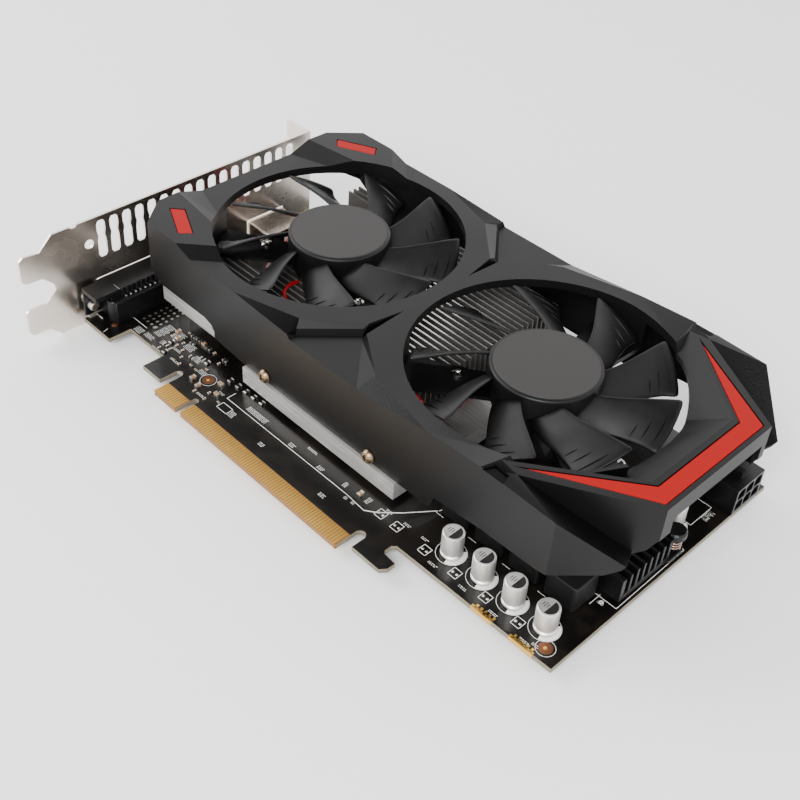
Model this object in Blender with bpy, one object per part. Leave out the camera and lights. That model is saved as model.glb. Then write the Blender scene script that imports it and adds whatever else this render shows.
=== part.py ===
"""Dual-slot graphics card with two axial fans, lying on its back with the fans up.

Working units are millimetres from the card's own datum: X runs from the bracket to the tail and is 0
at the edge-connector key, Y is 0 at the lower edge of the edge connector, Z is 0 on the component
side of the board.  The last step moves everything to the middle of the base and turns it to metres.
"""
import math

import bmesh
import bpy

MM = 0.001

# frame: the middle of the overall size in X and Y, and its lowest level
CENTRE_X = 34.585
CENTRE_Y = 51.2
BASE_Z = -4.3

# board
BOARD_T = 1.57
BOARD_LEFT = -57.5
BOARD_TAIL = 138.7
BOARD_TOP = 111.15
BOARD_LOW = 12.3
FINGER_SHORT = 11.65
FINGER_LONG = 71.65
KEY_HALF = 0.95
KEY_TOP = 7.9

# bracket
BRACKET_X = -61.0
BRACKET_T = 0.86
BRACKET_TIP_Y = -14.6
BRACKET_H = 120.02
BRACKET_LOW_Z = -4.3
BRACKET_WIDE = 38.74
FLANGE_OUT = 11.43
SLOT_PITCH = 20.32
VENT_PITCH = 5.0
VENT_COUNT = 17

# cooler
AXIS_Y = 70.1
WALL_HALF = 46.9
SKIN = 1.8
PAD_Z = 36.5
RING_Z = 34.0
WALL_FOOT = 8.6
FAN_X = (-4.9, 83.1)
FAN_TURN = (6.0, 27.0)
FAN_HOLE_R = 41.0
TUNNEL_R = 42.6
TUNNEL_FOOT = 31.2
BLADE_COUNT = 9
BLADE_R = 39.2
HUB_R = 16.7
HUB_TOP = 34.0
ROTOR_FOOT = 24.8
SPOKE_ANGLES = (212.0, 332.0, 92.0)
LUG_R = 25.0
ARM_SHIFT = 6.5
FIN_TOP = 19.8
FIN_PITCH = 2.4
FIN_T = 0.6

# looks: colour, roughness, metallic
LOOKS = {
    "solder_mask": ("15120F", 0.38, 0.0),
    "nickel_steel": ("C9C2BA", 0.24, 1.0),
    "connector_black": ("0C0C0D", 0.45, 0.0),
    "port_metal": ("C4C2BE", 0.28, 1.0),
    "shroud_plastic": ("2B2A2A", 0.42, 0.0),
    "red_trim": ("C8423C", 0.45, 0.0),
    "aluminium": ("B9B7B4", 0.35, 1.0),
    "black_anodised": ("141415", 0.4, 0.6),
    "fan_plastic": ("232323", 0.36, 0.0),
    "magnet": ("3A3838", 0.6, 0.4),
    "steel": ("B4B1AC", 0.25, 1.0),
    "bronze": ("A98D68", 0.35, 1.0),
    "core_iron": ("4A4643", 0.5, 0.8),
    "capacitor_can": ("CFCECB", 0.3, 1.0),
    "ferrite": ("1B1B1C", 0.6, 0.0),
    "package_green": ("1E3326", 0.4, 0.0),
    "wire_red": ("B01722", 0.4, 0.0),
    "wire_black": ("0E0E0F", 0.5, 0.0),
    "spring_steel": ("8A8580", 0.3, 1.0),
    "header_white": ("D9D5C8", 0.5, 0.0),
}

SMOOTH_ANGLE = math.radians(32.0)

REST = []


def clear():
    for ob in list(bpy.data.objects):
        bpy.data.objects.remove(ob, do_unlink=True)


def new_object(name, bm):
    bmesh.ops.recalc_face_normals(bm, faces=bm.faces[:])
    mesh = bpy.data.meshes.new(name)
    bm.to_mesh(mesh)
    bm.free()
    ob = bpy.data.objects.new(name, mesh)
    bpy.context.scene.collection.objects.link(ob)
    return ob


def linear(code):
    """Hex sRGB colour as linear RGBA."""
    values = []
    for i in (0, 2, 4):
        c = int(code[i:i + 2], 16) / 255.0
        values.append(c / 12.92 if c <= 0.04045 else ((c + 0.055) / 1.055) ** 2.4)
    return (values[0], values[1], values[2], 1.0)


def look(name):
    """Plain Principled material, made once for each look."""
    mat = bpy.data.materials.get(name)
    if mat is None:
        colour, rough, metal = LOOKS[name]
        mat = bpy.data.materials.new(name)
        mat.use_nodes = True
        shader = mat.node_tree.nodes["Principled BSDF"]
        shader.inputs["Base Color"].default_value = linear(colour)
        shader.inputs["Roughness"].default_value = rough
        shader.inputs["Metallic"].default_value = metal
    return mat


def keep(ob, finish_name, pivot=(0.0, 0.0, 0.0)):
    """Give a finished piece its material; pivot is the point its origin goes to."""
    ob.data.materials.clear()
    ob.data.materials.append(look(finish_name))
    REST.append((ob, pivot))
    return ob


def boolean(ob, cutter, operation="DIFFERENCE", drop=True):
    """Cut, join or intersect with the exact solver and leave a plain mesh."""
    bpy.context.view_layer.update()
    mod = ob.modifiers.new("cut", "BOOLEAN")
    mod.operation = operation
    mod.solver = "EXACT"
    mod.object = cutter
    graph = bpy.context.evaluated_depsgraph_get()
    mesh = bpy.data.meshes.new_from_object(ob.evaluated_get(graph))
    ob.modifiers.clear()
    ob.data = mesh
    if drop:
        bpy.data.objects.remove(cutter, do_unlink=True)
    return ob


def place(axis, u, v, w):
    """Point with w along the extrusion axis and u, v across it."""
    if axis == "X":
        return (w, u, v)
    if axis == "Y":
        return (u, w, v)
    return (u, v, w)


def prism(name, outline, axis, low, high, holes=()):
    """Flat outline with optional holes, extruded between two levels along an axis."""
    bm = bmesh.new()
    edges = []
    for loop in [outline] + list(holes):
        verts = [bm.verts.new(place(axis, u, v, low)) for u, v in loop]
        for i, vert in enumerate(verts):
            edges.append(bm.edges.new((vert, verts[(i + 1) % len(verts)])))
    if holes:
        bmesh.ops.triangle_fill(bm, use_beauty=True, use_dissolve=False, edges=edges)
    else:
        bmesh.ops.contextual_create(bm, geom=edges)
    grown = bmesh.ops.extrude_face_region(bm, geom=bm.faces[:])
    shift = [e for e in grown["geom"] if isinstance(e, bmesh.types.BMVert)]
    for vert in shift:
        step = place(axis, 0.0, 0.0, high - low)
        vert.co.x += step[0]
        vert.co.y += step[1]
        vert.co.z += step[2]
    return new_object(name, bm)


def circle(cx, cy, r, count, turn=0.0):
    points = []
    for i in range(count):
        a = math.radians(turn) + 2.0 * math.pi * i / count
        points.append((cx + r * math.cos(a), cy + r * math.sin(a)))
    return points


def rectangle(x0, x1, y0, y1):
    return [(x0, y0), (x1, y0), (x1, y1), (x0, y1)]


def rounded(x0, x1, y0, y1, r, steps=3):
    """Rectangle with rounded corners."""
    points = []
    corners = ((x1 - r, y1 - r, 0), (x0 + r, y1 - r, 90), (x0 + r, y0 + r, 180), (x1 - r, y0 + r, 270))
    for cx, cy, start in corners:
        for i in range(steps + 1):
            a = math.radians(start + 90.0 * i / steps)
            points.append((cx + r * math.cos(a), cy + r * math.sin(a)))
    return points


def box(name, x0, x1, y0, y1, z0, z1):
    return prism(name, rectangle(x0, x1, y0, y1), "Z", z0, z1)


def cylinder(name, axis, cu, cv, r, low, high, count=24, turn=0.0):
    return prism(name, circle(cu, cv, r, count, turn), axis, low, high)


def tube(name, axis, cu, cv, r_out, r_in, low, high, count=32):
    """Closed ring built from its four rims."""
    bm = bmesh.new()
    rims = []
    for r, level in ((r_out, low), (r_out, high), (r_in, high), (r_in, low)):
        rims.append([bm.verts.new(place(axis, u, v, level)) for u, v in circle(cu, cv, r, count)])
    for k in range(4):
        here, there = rims[k], rims[(k + 1) % 4]
        for i in range(count):
            j = (i + 1) % count
            bm.faces.new((here[i], here[j], there[j], there[i]))
    return new_object(name, bm)


def lathe(name, axis, cu, cv, profile, count=32):
    """Solid of revolution; profile runs (radius, level) and starts and ends on the axis."""
    bm = bmesh.new()
    rims = []
    for r, level in profile:
        if r == 0.0:
            rims.append([bm.verts.new(place(axis, cu, cv, level))])
        else:
            rims.append([bm.verts.new(place(axis, u, v, level)) for u, v in circle(cu, cv, r, count)])
    for here, there in zip(rims, rims[1:]):
        for i in range(count):
            j = (i + 1) % count
            if len(here) == 1:
                bm.faces.new((here[0], there[j], there[i]))
            elif len(there) == 1:
                bm.faces.new((here[i], here[j], there[0]))
            else:
                bm.faces.new((here[i], here[j], there[j], there[i]))
    return new_object(name, bm)


# ---------------------------------------------------------------- board and bracket

def make_board():
    left = -KEY_HALF - FINGER_SHORT
    right = KEY_HALF + FINGER_LONG
    outline = [
        (BOARD_LEFT, BOARD_TOP), (BOARD_LEFT, 3.9), (-42.8, 3.9), (-42.8, BOARD_LOW),
        (-24.6, BOARD_LOW), (-24.6, 4.4), (-15.4, 4.4), (-15.4, 10.6), (-14.8, 11.7), (-14.0, 12.1),
        (-13.2, 11.7), (left, 10.6), (left, 0.8), (left + 0.8, 0.0), (-KEY_HALF - 0.4, 0.0),
        (-KEY_HALF, 0.4), (-KEY_HALF, KEY_TOP - 0.5), (0.0, KEY_TOP), (KEY_HALF, KEY_TOP - 0.5),
        (KEY_HALF, 0.4), (KEY_HALF + 0.4, 0.0), (right - 0.8, 0.0), (right, 0.8), (right, 8.0),
        (73.3, 9.0), (74.2, 9.4), (75.2, 9.0), (75.8, 8.0), (75.8, 3.0), (86.6, 3.0), (88.1, 5.0),
        (88.1, 7.9), (83.6, 8.2), (82.9, 9.0), (82.9, 11.4), (84.0, BOARD_LOW + 0.2),
        (BOARD_TAIL, BOARD_LOW + 0.9), (BOARD_TAIL, BOARD_TOP)]
    holes = [circle(PIN_X, PIN_Y, 1.7, 16)]
    return keep(prism("pcb", outline, "Z", -BOARD_T, 0.0, holes), "solder_mask")


def vent_outline(y):
    """One vent slot of the bracket, as (Y, Z) points with a slight wave."""
    return [(y - 1.6, 19.8), (y - 0.9, 18.7), (y + 0.9, 18.7), (y + 1.6, 19.8), (y + 1.6, 25.0),
            (y + 1.2, 27.0), (y + 1.6, 29.0), (y + 1.6, 31.6), (y + 0.9, 32.7), (y - 0.9, 32.7),
            (y - 1.6, 31.6), (y - 1.6, 29.0), (y - 1.2, 27.0), (y - 1.6, 25.0)]


def make_bracket():
    tip = BRACKET_TIP_Y
    top = tip + BRACKET_H
    low = BRACKET_LOW_Z
    high = low + BRACKET_WIDE
    outline = [
        (top, low), (top, high), (6.8, high), (6.4, high - 0.8), (4.8, high - 0.8), (4.2, high),
        (-2.4, high), (-7.4, 29.6), (tip + 1.6, 30.2), (tip, 29.0), (tip, 21.4), (tip + 1.4, 20.0),
        (-7.4, 19.7), (-3.4, 15.8), (-3.2, 13.9), (-7.3, 9.8), (tip + 1.4, 10.0), (tip, 9.2),
        (tip, 1.1), (tip + 1.2, -0.2), (-7.4, -0.4), (-3.3, low)]
    holes = [vent_outline(15.5 + VENT_PITCH * i) for i in range(VENT_COUNT)]
    holes.append(circle(10.6, 25.4, 1.7, 16))
    holes.append(rounded(11.2, 37.2, 0.6, 11.2, 1.2, 2))
    holes.append(circle(7.6, 5.9, 2.4, 12))
    holes.append(circle(40.8, 5.9, 2.4, 12))
    holes.append(rounded(51.6, 67.4, 0.6, 7.2, 0.8, 2))
    holes.append(rounded(75.2, 92.4, 0.6, 8.0, 0.8, 2))
    x_in = BRACKET_X + BRACKET_T
    plate = prism("io_bracket", outline, "X", BRACKET_X, x_in, holes)
    out = BRACKET_X - FLANGE_OUT
    flange = [(x_in, low), (x_in, high), (out + 0.8, high), (out, high - 0.8)]
    for centre in (4.8 + SLOT_PITCH, 4.8):
        flange += [(out, centre + 2.2), (out + 5.2, centre + 2.2), (out + 6.4, centre + 1.0),
                   (out + 6.4, centre - 1.0), (out + 5.2, centre - 2.2), (out, centre - 2.2)]
    flange += [(out, low + 0.8), (out + 0.8, low)]
    shelf = prism("flange", flange, "Y", top - BRACKET_T, top)
    return keep(boolean(plate, shelf, "UNION"), "nickel_steel")


def make_dvi():
    body = box("dvi_body", -59.6, -47.0, 4.8, 43.6, 0.3, 11.4)
    boolean(body, box("step", -50.0, -46.0, 4.0, 44.4, 8.6, 12.0))
    boolean(body, box("pocket_low", -60.5, -58.6, 4.0, 10.6, -1.0, 12.0))
    boolean(body, box("pocket_high", -60.5, -58.6, 37.8, 44.4, -1.0, 12.0))
    insert = prism("insert", rounded(13.6, 34.8, 2.6, 9.2, 0.8, 2), "X", -65.4, -59.0)
    boolean(body, insert, "UNION")
    keep(body, "connector_black")
    shell = prism("dvi_shell", rounded(11.9, 36.5, 1.2, 10.6, 1.4, 3), "X", -66.2, -59.9,
                  [rounded(12.6, 35.8, 1.9, 9.9, 1.0, 3)])
    keep(shell, "port_metal")
    for index, y in enumerate((7.6, 40.8)):
        nut = prism("dvi_jack_nut_%d" % (index + 1), circle(y, 5.9, 2.9, 6, 30.0), "X", -66.0, -61.3)
        boolean(nut, cylinder("stem", "X", y, 5.9, 1.9, -62.0, -59.2, 16), "UNION")
        boolean(nut, cylinder("thread", "X", y, 5.9, 1.3, -67.0, -62.5, 16))
        keep(nut, "port_metal")


def make_small_port(name, y0, y1, z1, x_back):
    shell = prism(name + "_shell", rounded(y0, y1, 0.9, z1, 0.6, 2), "X", -61.6, x_back,
                  [rounded(y0 + 0.45, y1 - 0.45, 1.35, z1 - 0.45, 0.4, 2)])
    keep(shell, "port_metal")
    insert = box(name + "_insert", x_back - 2.6, x_back - 0.4, y0 + 0.8, y1 - 0.8, 1.7, z1 - 0.8)
    middle = (1.35 + z1 - 0.45) / 2.0
    tongue = box("tongue", -60.4, x_back - 2.0, y0 + 2.4, y1 - 2.4, middle - 0.7, middle + 0.7)
    boolean(insert, tongue, "UNION")
    keep(insert, "connector_black")


# ---------------------------------------------------------------- shroud

# half of the top skin: (X, distance from the fan line, Z); the fan line itself has distance 0
TOP = {
    "left0": (-52.5, 0.0, RING_Z),
    "left1": (-52.5, 19.4, RING_Z),
    "pad1": (-53.2, 28.4, PAD_Z),
    "pad2": (-53.0, 36.7, PAD_Z),
    "pad3": (-44.5, 46.9, PAD_Z),
    "pad4": (-29.4, 46.9, PAD_Z),
    "pad5": (-18.2, 36.4, PAD_Z),
    "pad6": (-28.4, 31.4, PAD_Z),
    "rim1": (-34.4, 25.2, RING_Z),
    "rim2": (-12.6, 38.0, RING_Z),
    "wall1": (-22.0, 46.9, RING_Z),
    "wall2": (-0.5, 46.9, RING_Z),
    "ring1": (22.1, 40.2, RING_Z),
    "ring2": (37.1, 26.3, RING_Z),
    "ring3": (39.3, 13.9, RING_Z),
    "mid0": (39.1, 0.0, RING_Z),
    "hub1": (FAN_X[0], 0.0, RING_Z),
    "hub2": (FAN_X[1], 0.0, RING_Z),
    "wall3": (24.4, 46.9, 32.8),
    "bevel1": (24.6, 43.4, 33.2),
    "bevel2": (37.2, 28.6, 33.2),
    "step1": (25.2, 44.2, 31.4),
    "step2": (38.0, 29.4, 31.4),
    "wall4": (25.4, 46.9, 31.4),
    "panel1": (38.9, 30.6, 31.4),
    "wall5": (54.3, 46.9, 31.4),
    "edge1": (40.3, 30.2, RING_Z),
    "edge2": (55.4, 40.8, RING_Z),
    "wall6": (82.0, 46.9, 34.6),
    "wall7": (100.5, 46.9, 36.0),
    "ring4": (101.5, 36.0, RING_Z),
    "arm0": (102.5, 41.4, PAD_Z),
    "arm1": (108.8, 42.4, PAD_Z),
    "vee": (133.0, 18.2, PAD_Z),
    "nose": (141.6, 23.5, PAD_Z),
    "funnel1": (103.6, 34.6, 30.4),
    "funnel2": (115.2, 17.7, 23.6),
    "crease": (125.5, 46.9, 35.3),
    "tip": (140.4, 34.7, 23.0),
    "valley": (136.8, 27.2, 20.2),
}

OUTLINE = ["left1", "pad1", "pad2", "pad3", "pad4", "wall1", "wall2", "wall3", "wall4", "wall5",
           "wall6", "wall7", "crease", "tip", "valley", "nose"]

FACETS = [
    ("pad1", "pad2", "pad3", "pad4", "pad5", "pad6"),
    ("pad1", "pad6", "rim1"), ("pad1", "rim1", "left1"),
    ("pad4", "wall1", "rim2"), ("pad4", "rim2", "pad5"),
    ("left0", "left1", "rim1", "hub1"),
    ("rim1", "pad6", "hub1"), ("pad6", "pad5", "hub1"), ("pad5", "rim2", "hub1"),
    ("hub1", "rim2", "wall1", "wall2", "ring1", "ring2", "ring3", "mid0"),
    ("wall2", "wall3", "bevel1", "ring1"),
    ("ring1", "bevel1", "bevel2", "ring2"),
    ("bevel1", "step1", "step2", "bevel2"),
    ("wall3", "wall4", "step1", "bevel1"),
    ("step1", "wall4", "wall5", "panel1", "step2"),
    ("ring2", "bevel2", "step2"), ("ring2", "step2", "ring3"), ("step2", "panel1", "ring3"),
    ("panel1", "edge1", "ring3"),
    ("panel1", "wall5", "edge2", "edge1"),
    ("wall5", "wall6", "edge2"),
    ("mid0", "ring3", "edge1", "hub2"), ("edge1", "edge2", "hub2"), ("edge2", "wall6", "hub2"),
    ("wall6", "ring4", "hub2"), ("wall6", "wall7", "ring4"), ("wall7", "arm0", "ring4"),
    ("ring4", "funnel1", "hub2"), ("ring4", "arm0", "funnel1"),
    ("funnel1", "funnel2", "hub2"),
    ("arm0", "vee", "funnel2", "funnel1"),
    ("wall7", "crease", "arm1", "arm0"),
    ("arm0", "arm1", "nose", "vee"),
    ("arm1", "crease", "tip"), ("arm1", "tip", "valley"), ("arm1", "valley", "nose"),
]

ON_AXIS = ("left0", "mid0", "hub1", "hub2")


def inset_outline(points, distance):
    """Move a closed outline inwards by a fixed wall thickness."""
    result = []
    count = len(points)
    for i in range(count):
        before, here, after = points[i - 1], points[i], points[(i + 1) % count]
        a = (here[0] - before[0], here[1] - before[1])
        b = (after[0] - here[0], after[1] - here[1])
        la, lb = math.hypot(*a), math.hypot(*b)
        na, nb = (-a[1] / la, a[0] / la), (-b[1] / lb, b[0] / lb)
        k = 1.0 + na[0] * nb[0] + na[1] * nb[1]
        result.append((here[0] + distance * (na[0] + nb[0]) / k, here[1] + distance * (na[1] + nb[1]) / k))
    return result


def grown(points, distance):
    """Move an outline outwards, whichever way round it runs."""
    area = 0.0
    for i, (x, y) in enumerate(points):
        nx, ny = points[(i + 1) % len(points)]
        area += x * ny - nx * y
    if area < 0.0:
        points = list(reversed(points))
    return inset_outline(points, -distance)


def skin_solid(name, inset, drop, foot):
    """Closed solid under the top skin, moved in by inset and down by drop."""
    keys = [(key, -1) for key in OUTLINE]
    keys += [(key, 1) for key in reversed(OUTLINE)]
    flat = [(TOP[key][0], side * TOP[key][1]) for key, side in keys]
    moved = dict(zip(keys, inset_outline(flat, inset))) if inset else dict(zip(keys, flat))
    bm = bmesh.new()
    verts = {}

    def vert(key, side):
        if key in ON_AXIS:
            side = 0
        if (key, side) not in verts:
            x, y, z = TOP[key]
            x, y = moved.get((key, side), (x, side * y))
            if key == "left0":
                x += inset
            verts[(key, side)] = bm.verts.new((x, AXIS_Y + y, z - drop))
        return verts[(key, side)]

    for facet in FACETS:
        for side in (-1, 1):
            loop = [vert(key, side) for key in facet]
            if side == 1:
                loop.reverse()
            bm.faces.new(loop)
    for low, high in (("funnel2", "vee"), ("vee", "nose")):
        bm.faces.new((vert(low, -1), vert(high, -1), vert(high, 1), vert(low, 1)))
    bm.faces.new((vert("hub2", 0), vert("funnel2", -1), vert("funnel2", 1)))
    rim = [vert(key, -1) for key in OUTLINE] + [vert(key, 1) for key in reversed(OUTLINE)]
    rim.append(vert("left0", 0))
    base = [bm.verts.new((v.co.x, v.co.y, foot)) for v in rim]
    for i, here in enumerate(rim):
        j = (i + 1) % len(rim)
        bm.faces.new((here, base[i], base[j], rim[j]))
    bm.faces.new(list(reversed(base)))
    bmesh.ops.triangulate(bm, faces=bm.faces[:])
    return new_object(name, bm)


def foot_profile():
    """Everything under the lower edge of the side walls, as (X, Z) points."""
    return [(-70.0, -20.0), (-70.0, 29.0), (-50.5, 29.0), (-47.2, 20.6), (-39.2, 15.3), (-16.0, 15.3),
            (-12.6, 14.2), (-11.2, 12.4), (-11.0, 9.8), (2.8, WALL_FOOT), (84.6, WALL_FOOT),
            (86.2, 13.4), (104.0, 15.2), (122.0, 15.7), (128.0, 16.9), (136.4, 19.0),
            (139.6, 21.6), (141.4, 25.4), (160.0, 25.4), (160.0, -20.0)]


def make_shroud():
    shell = skin_solid("shroud", 0.0, 0.0, 0.0)
    cavity = skin_solid("cavity", SKIN, SKIN, -5.0)
    for x in FAN_X:
        boolean(cavity, cylinder("column", "Z", x, AXIS_Y, TUNNEL_R, TUNNEL_FOOT, 60.0, 60))
    boolean(shell, cavity)
    for x in FAN_X:
        boolean(shell, cylinder("hole", "Z", x, AXIS_Y, FAN_HOLE_R, -9.0, 70.0, 60))
    boolean(shell, prism("feet", foot_profile(), "Y", 0.0, 140.0))
    boolean(shell, box("tail_gap", 136.0, 150.0, AXIS_Y - 19.0, AXIS_Y + 21.2, 10.0, 30.6))
    for side in (-1, 1):
        y = AXIS_Y + side * WALL_HALF
        notch = prism("notch", [(100.8, y + 1.0 * side), (102.8, y - 3.4 * side), (107.6, y - 3.0 * side),
                                (108.6, y + 1.0 * side)], "Z", 35.6, 40.0)
        boolean(shell, notch)
    for x in FAN_X:
        boolean(shell, spokes(x), "UNION")
        for angle in SPOKE_ANGLES:
            a = math.radians(angle)
            sx, sy = x + LUG_R * math.cos(a), AXIS_Y + LUG_R * math.sin(a)
            boolean(shell, cylinder("hole", "Z", sx, sy, 1.15, 19.0, 23.0, 12))
    boolean(shell, chevron_solid("pocket", 0.3, PAD_Z - 0.9, 38.0))
    for side in (-1, 1):
        boolean(shell, bar_solid("pocket", side, 0.3, PAD_Z - 0.7, 38.0))
    for x in SIDE_SCREW_X:
        boolean(shell, cylinder("hole", "Y", x, SIDE_SCREW_Z, 1.4, 20.0, 27.0, 16))
    return keep(shell, "shroud_plastic")


def spokes(x):
    """Three arms that carry the fan, joined by a plate under the motor."""
    plate = cylinder("plate", "Z", x, AXIS_Y, 15.0, 20.4, 22.0, 36)
    for angle in SPOKE_ANGLES:
        a = math.radians(angle)
        ux, uy = math.cos(a), math.sin(a)
        corners = []
        for r, half in ((8.0, 4.2), (8.0, -4.2), (42.3, -6.5), (42.3, 6.5)):
            corners.append((x + r * ux - half * uy, AXIS_Y + r * uy + half * ux))
        boolean(plate, prism("arm", corners, "Z", 20.4, 22.0), "UNION")
        corners = []
        for r, half in ((41.2, 6.3), (41.2, -6.3), (42.4, -6.3), (42.4, 6.3)):
            corners.append((x + r * ux - half * uy, AXIS_Y + r * uy + half * ux))
        boolean(plate, prism("post", corners, "Z", 20.4, TUNNEL_FOOT + 1.0), "UNION")
    return plate


def chevron_solid(name, grow, low, high):
    """V-shaped trim around the tail; grow widens it for its pocket."""
    half = [(108.9, 38.9), (135.0, 19.2)]
    outer = (139.9, 22.0)
    points = [(half[0][0], -half[0][1]), (outer[0], -outer[1]), (outer[0], outer[1]),
              (half[0][0], half[0][1]), (half[1][0], half[1][1] - 0.8), (half[1][0], -half[1][1] + 0.8)]
    points = [(x, AXIS_Y + y) for x, y in points]
    if grow:
        points = grown(points, grow)
    return prism(name, points, "Z", low, high)


def bar_solid(name, side, grow, low, high):
    """Plain slanted bar set into a pad."""
    points = [(-46.6, 36.4), (-43.2, 33.2), (-30.6, 39.4), (-33.4, 42.8)]
    points = [(x, AXIS_Y + side * y) for x, y in points]
    if grow:
        points = grown(points, grow)
    return prism(name, points, "Z", low, high)


SIDE_SCREW_X = (14.2, 60.6)
SIDE_SCREW_Z = 10.6


def make_trim():
    keep(chevron_solid("chevron_trim", 0.0, PAD_Z - 0.7, PAD_Z - 0.1), "red_trim")
    keep(bar_solid("accent_bar_lower", -1, 0.0, PAD_Z - 0.5, PAD_Z - 0.05), "red_trim")
    keep(bar_solid("accent_bar_upper", 1, 0.0, PAD_Z - 0.5, PAD_Z - 0.05), "red_trim")


def make_side_screws():
    y = AXIS_Y - WALL_HALF
    for index, x in enumerate(SIDE_SCREW_X):
        head = [(0.0, y - 1.9), (1.2, y - 1.8), (2.0, y - 1.2), (2.3, y - 0.4), (2.3, y - 0.1),
                (1.15, y - 0.1), (1.15, y + 5.4), (0.0, y + 5.4)]
        keep(lathe("shroud_screw_%d" % (index + 1), "Y", x, SIDE_SCREW_Z, head, 16), "bronze")


# ---------------------------------------------------------------- heatsinks

def make_heatsink():
    plate = box("heatsink", -38.0, 56.4, 25.5, 111.4, 8.6, 10.2)
    boolean(plate, box("base", 4.3, 72.0, 22.2, 104.0, 2.3, 8.3), "UNION")
    boolean(plate, box("bridge", 4.3, 56.4, 25.5, 104.0, 7.0, 9.4), "UNION")
    boolean(plate, box("rail", -38.0, 56.4, 25.5, 29.3, 8.6, 12.9), "UNION")
    boolean(plate, box("skirt", -41.8, -13.8, 25.5, 28.9, 7.0, 12.7), "UNION")
    fins = int((111.4 - 25.5 - FIN_T) / FIN_PITCH) + 1
    shape = [(-38.0, 9.4), (56.4, 9.4), (56.4, FIN_TOP), (-38.0, FIN_TOP)]
    comb = None
    for i in range(fins):
        y = 25.5 + FIN_PITCH * i
        fin = prism("fin", shape, "Y", y, y + FIN_T)
        comb = fin if comb is None else join(comb, fin)
    boolean(plate, comb, "UNION")
    boolean(plate, box("header_room", -40.0, -19.0, 48.0, 104.0, 8.0, 21.0))
    for x in SIDE_SCREW_X:
        boolean(plate, cylinder("hole", "Y", x, SIDE_SCREW_Z, 1.4, 20.0, 29.0, 16))
    return keep(plate, "aluminium")


def join(first, second):
    """Put two separate meshes into one object."""
    bm = bmesh.new()
    bm.from_mesh(first.data)
    bm.from_mesh(second.data)
    bm.to_mesh(first.data)
    bm.free()
    bpy.data.objects.remove(second, do_unlink=True)
    return first


PIN_X = 135.4
PIN_Y = 68.4


def make_vrm_heatsink():
    """Low finned block over the power stage, with an ear for its push pin."""
    outline = [(42.2, 1.0), (64.2, 1.0), (64.2, 2.6)]
    y = 64.2
    while y - 2.9 > 42.0:
        outline += [(y, 9.2), (y - 1.0, 9.2), (y - 1.0, 2.8), (y - 2.9, 2.8)]
        y -= 2.9
    outline += [(y, 9.2), (42.2, 9.2)]
    block = prism("vrm_heatsink", outline, "X", 112.0, 137.2)
    ear = prism("ear", [(130.0, 63.0), (138.0, 63.0), (138.0, 69.6), (136.4, 71.8), (133.2, 71.8),
                        (130.0, 69.0)], "Z", 1.0, 2.2)
    boolean(block, ear, "UNION")
    boolean(block, cylinder("hole", "Z", PIN_X, PIN_Y, 1.7, 0.0, 3.0, 16))
    return keep(block, "black_anodised")


def make_push_pin():
    profile = [(0.0, 9.4), (2.6, 9.4), (3.1, 8.9), (3.1, 7.2), (1.1, 7.2), (1.1, -1.9), (2.0, -1.9),
               (1.0, -2.7), (0.0, -2.7)]
    keep(lathe("push_pin", "Z", PIN_X, PIN_Y, profile, 16), "connector_black", (PIN_X, PIN_Y, 2.2))
    coil("push_pin_spring", PIN_X, PIN_Y, 2.15, 0.3, 2.8, 6.6, 4.0)


def coil(name, cx, cy, radius, wire, low, high, turns):
    """Round-wire helical spring standing along Z."""
    bm = bmesh.new()
    steps = int(turns * 10)
    sides = 5
    rims = []
    for i in range(steps + 1):
        t = i / steps
        a = 2.0 * math.pi * turns * t
        z = low + (high - low) * t
        rim = []
        for k in range(sides):
            b = 2.0 * math.pi * k / sides
            r = radius + wire * math.cos(b)
            rim.append(bm.verts.new((cx + r * math.cos(a), cy + r * math.sin(a), z + wire * math.sin(b))))
        rims.append(rim)
    for here, there in zip(rims, rims[1:]):
        for k in range(sides):
            j = (k + 1) % sides
            bm.faces.new((here[k], here[j], there[j], there[k]))
    bm.faces.new(rims[0])
    bm.faces.new(list(reversed(rims[-1])))
    return keep(new_object(name, bm), "spring_steel")


# ---------------------------------------------------------------- board components

def make_power_connector():
    body = box("power_connector", 126.0, 138.9, 93.0, 106.8, 0.3, 9.9)
    boolean(body, box("latch", 130.4, 136.2, 98.6, 101.2, 9.0, 11.4), "UNION")
    for row in range(2):
        for column in range(3):
            y = 95.7 + 4.2 * column
            z = 3.0 + 4.2 * row
            shape = [(y - 1.75, z - 1.75), (y + 1.75, z - 1.75), (y + 1.75, z + 1.0), (y + 1.0, z + 1.75),
                     (y - 1.0, z + 1.75), (y - 1.75, z + 1.0)]
            boolean(body, prism("cell", shape, "X", 129.0, 140.0))
    return keep(body, "connector_black")


def make_capacitor(name, x, y, r, high):
    profile = [(0.0, 0.3), (r, 0.3), (r, 1.0), (r - 0.45, 1.5), (r, 2.0), (r, high - 0.5), (r - 0.5, high),
               (0.0, high)]
    return keep(lathe(name, "Z", x, y, profile, 20), "capacitor_can")


def make_board_parts():
    places = [(95.5, 22.1), (106.9, 22.1), (118.0, 22.1), (129.2, 22.0), (129.4, 77.3), (108.0, 76.6)]
    for index, (x, y) in enumerate(places):
        make_capacitor("capacitor_%d" % (index + 1), x, y, 3.2, 8.6)
    for index, x in enumerate((126.0, 113.4, 100.8, 88.2)):
        y0 = 30.4
        shape = rounded(x - 5.2, x + 5.2, y0, y0 + 10.4, 0.7, 1)
        keep(prism("choke_%d" % (index + 1), shape, "Z", 0.3, 9.4), "ferrite")
    keep(box("gpu_package", 18.0, 58.0, 44.0, 84.0, 0.3, 2.0), "package_green")
    header = box("fan_header", -47.0, -43.4, 82.0, 92.0, 0.3, 6.0)
    boolean(header, box("well", -46.2, -44.0, 82.8, 91.2, 2.0, 7.0))
    keep(header, "header_white")


# ---------------------------------------------------------------- fans

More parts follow.
